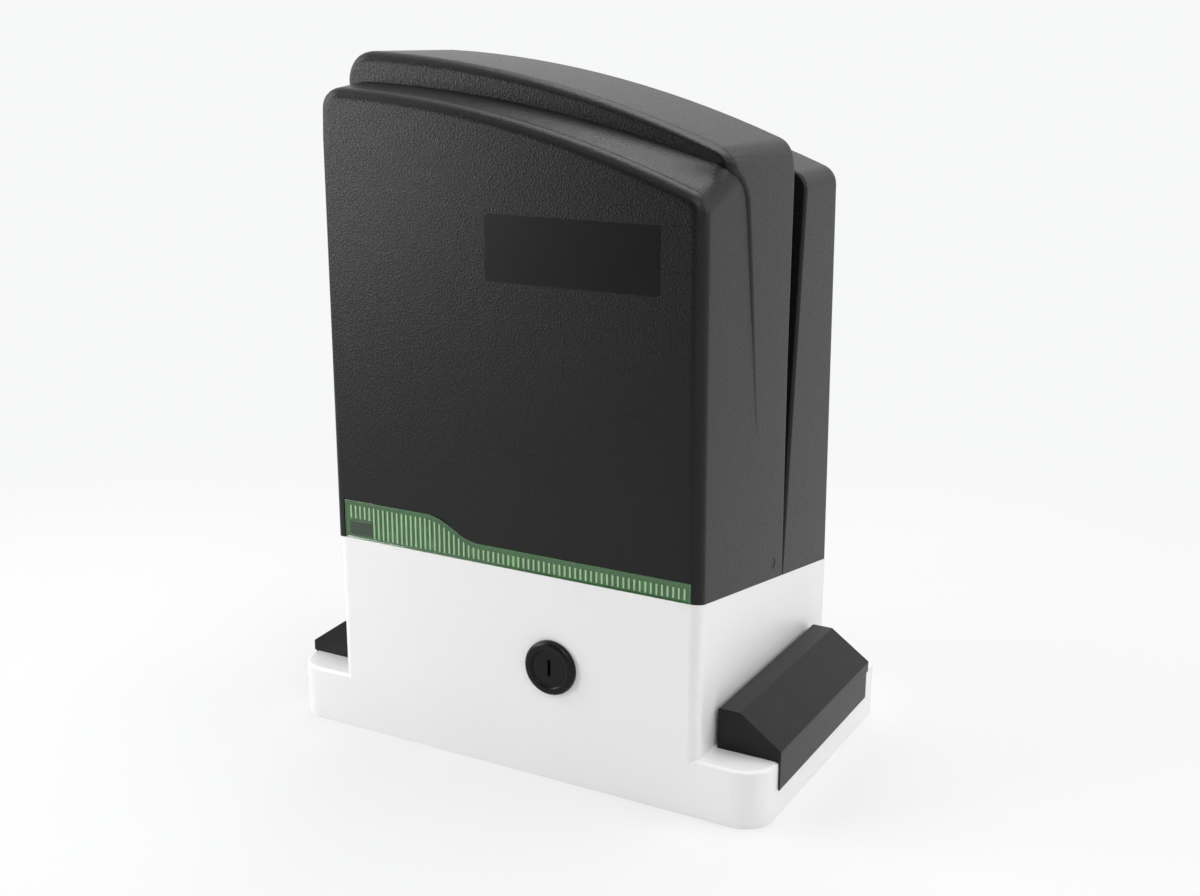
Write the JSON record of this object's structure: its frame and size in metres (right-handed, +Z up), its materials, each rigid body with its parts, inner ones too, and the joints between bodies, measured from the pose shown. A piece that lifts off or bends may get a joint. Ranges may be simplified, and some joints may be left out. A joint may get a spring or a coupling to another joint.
{
  "type": "sliding gate motor",
  "caption": "Electric operator for a sliding gate: white cast base with anchor feet, tall three-lobed black cover, green status lens, release lock, and a rack pinion at the back.",
  "frame": {"origin": "middle of the pedestal footprint on the mounting surface", "axes": "+Z up, -Y towards the lock and the yard side, +Y towards the gate and the pinion, +X to the right seen from the lock"},
  "size_m": [0.2882, 0.2144, 0.3603],
  "materials": {
    "white_paint": "smooth white powder coat, slightly glossy",
    "cover_black": "fine-grained satin charcoal ABS",
    "cap_black": "smooth satin black moulding",
    "lens_green": "clear green, ribbed inside",
    "lock_black": "semi-gloss black",
    "zinc_steel": "bright zinc plate",
    "machined_steel": "turned and hobbed steel, oiled",
    "cast_aluminium": "die-cast, as cast",
    "lamination_steel": "stacked laminations, varnished",
    "winding_copper": "varnished copper wire",
    "wheel_bronze": "hobbed bronze",
    "seal_rubber": "matt black",
    "board_green": "solder mask",
    "tray_grey": "dark grey moulding",
    "terminal_green": "green terminal plastic",
    "led_white": "LED dies"
  },
  "bodies": {
    "base": {"base_housing": "white_paint", "board_fuse": "tray_grey", "board_screws": "zinc_steel", "board_tray": "tray_grey", "cable_grommet": "seal_rubber", "capacitor_clamp": "zinc_steel", "chassis_plate": "zinc_steel", "chassis_screws": "zinc_steel", "control_board": "board_green", "control_chip": "tray_grey", "front_shaft_bearing": "machined_steel", "gearbox_foot_screws": "zinc_steel", "gearbox_housing": "cast_aluminium", "gearbox_lid": "cast_aluminium", "gearbox_lid_screws": "zinc_steel", "limit_sensor": "tray_grey", "lock_bezel": "lock_black", "lock_nut": "zinc_steel", "lower_worm_bearing": "machined_steel", "motor_bolts": "zinc_steel", "motor_lower_bell": "cast_aluminium", "motor_stator": "lamination_steel", "motor_top_bearing": "machined_steel", "motor_upper_bell": "cast_aluminium", "radio_receiver": "tray_grey", "rear_shaft_bearing": "machined_steel", "relays": "tray_grey", "run_capacitor": "cast_aluminium", "sensor_bracket": "zinc_steel", "shaft_seal": "seal_rubber", "stator_windings": "winding_copper", "status_led_board": "board_green", "status_leds": "led_white", "terminal_blocks": "terminal_green", "transformer_coil": "winding_copper", "transformer_core": "lamination_steel", "upper_worm_bearing": "machined_steel"},
    "cover": {"cover_shell": "cover_black", "status_lens": "lens_green", "cover_screws": "zinc_steel", "cover_nuts": "zinc_steel"},
    "left_cap": {"anchor_cover_left": "cap_black"},
    "right_cap": {"anchor_cover_right": "cap_black"},
    "lock": {"lock_plug": "lock_black", "release_cam": "zinc_steel"},
    "rod": {"release_rod": "zinc_steel"},
    "output": {"output_shaft": "machined_steel", "drive_pinion": "machined_steel", "pinion_key": "zinc_steel", "pinion_washer": "zinc_steel", "pinion_bolt": "zinc_steel", "spring_collar": "zinc_steel", "clutch_spring": "zinc_steel"},
    "clutch": {"dog_clutch": "machined_steel", "clutch_pin": "machined_steel"},
    "wheel": {"worm_wheel": "wheel_bronze"},
    "rotor": {"worm_shaft": "machined_steel", "rotor_core": "lamination_steel"}
  },
  "joints": [
    {"name": "cover_lift", "type": "slide", "parent": "base", "child": "cover", "axis": [0, 0, 1], "range_m": [0, 0.22]},
    {"name": "left_cap_lift", "type": "slide", "parent": "base", "child": "left_cap", "axis": [0, 0, 1], "range_m": [0, 0.05]},
    {"name": "right_cap_lift", "type": "slide", "parent": "base", "child": "right_cap", "axis": [0, 0, 1], "range_m": [0, 0.05]},
    {"name": "rod_push", "type": "slide", "parent": "base", "child": "rod", "axis": [0, 1, 0], "range_m": [0, 0.0045]},
    {"name": "lock_turn", "type": "hinge", "parent": "base", "child": "lock", "pos_m": [0.0256, -0.086, 0.0626], "axis": [0, 1, 0], "range_deg": [0, 90]},
    {"name": "rotor_spin", "type": "hinge", "parent": "base", "child": "rotor", "pos_m": [-0.0154, 0, 0.0626], "axis": [0, 0, 1], "continuous": true},
    {"name": "wheel_spin", "type": "hinge", "parent": "base", "child": "wheel", "pos_m": [0.0256, 0, 0.0626], "axis": [0, 1, 0], "continuous": true},
    {"name": "output_spin", "type": "hinge", "parent": "base", "child": "output", "pos_m": [0.0256, 0, 0.0626], "axis": [0, 1, 0], "continuous": true},
    {"name": "clutch_slide", "type": "slide", "parent": "output", "child": "clutch", "axis": [0, 1, 0], "range_m": [0, 0.0046]}
  ],
  "couplings": [
    {"joint": "lock_turn", "follows": "rod_push", "rad_per_m": 349.07},
    {"joint": "clutch_slide", "follows": "rod_push", "ratio": 1},
    {"joint": "wheel_spin", "follows": "rotor_spin", "ratio": -0.033333},
    {"joint": "output_spin", "follows": "rotor_spin", "ratio": -0.033333}
  ]
}
